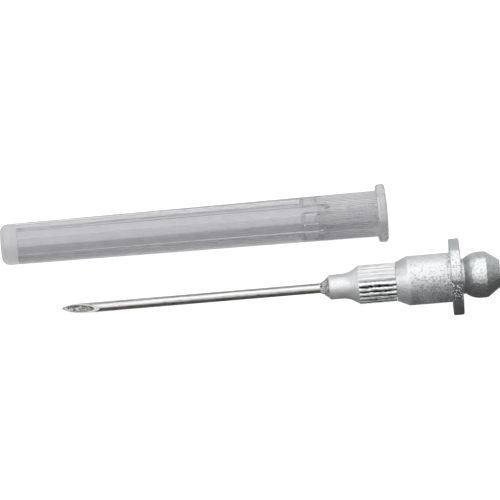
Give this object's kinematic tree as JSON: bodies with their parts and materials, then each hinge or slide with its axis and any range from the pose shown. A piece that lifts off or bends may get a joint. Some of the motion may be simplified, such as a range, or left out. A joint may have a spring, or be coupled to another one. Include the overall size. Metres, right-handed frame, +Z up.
{
  "type": "grease injector needle",
  "caption": "Hollow steel needle with a lancet point on a fluted hub, a flanged adapter with a ball-check grease nipple, and a clear push-on cap lying beside it.",
  "frame": {"origin": "on the surface that everything lies on, under the middle of the overall box", "axes": "+X runs from the needle's point to the grease nipple, along the length of both pieces; +Y towards the cap; +Z up"},
  "size_m": [0.0693, 0.0192, 0.0108],
  "materials": {
    "stainless_tube": "drawn and polished stainless steel, ground on the bevel",
    "bonding_compound": "rough grey bonding bead with bright specks",
    "hub_aluminium": "bright die-formed aluminium, finely grained",
    "seal_rubber": "black nitrile rubber, hidden",
    "adapter_steel": "turned steel, zinc plated and tumbled to a mottled satin",
    "nipple_steel": "hardened steel, plated, smoother and darker than the adapter",
    "ball_steel": "polished bearing steel",
    "spring_steel": "drawn spring wire, hidden",
    "retainer_brass": "pressed brass ring, hidden",
    "cap_plastic": "natural polypropylene, milky and see-through"
  },
  "bodies": {
    "needle_assembly": {"needle_tube": "stainless_tube", "needle_bond": "bonding_compound", "needle_hub": "hub_aluminium", "hub_seal": "seal_rubber", "adapter_body": "adapter_steel", "grease_nipple": "nipple_steel", "check_spring": "spring_steel", "spring_retainer": "retainer_brass"},
    "check_ball": {"check_ball": "ball_steel"},
    "cap": {"protective_cap": "cap_plastic"}
  },
  "joints": [
    {"name": "check_ball_lift", "type": "slide", "parent": "needle_assembly", "child": "check_ball", "axis": [-0.9964, 0, -0.0849], "range_m": [0, 0.0008], "stiffness_N_per_m": 300, "springref_m": -0.0008, "deforming": ["check_spring"]},
    {"name": "cap_draw_off", "type": "slide", "parent": "needle_assembly", "child": "cap", "axis": [-1, 0, 0], "range_m": [0, 0.04745]}
  ]
}
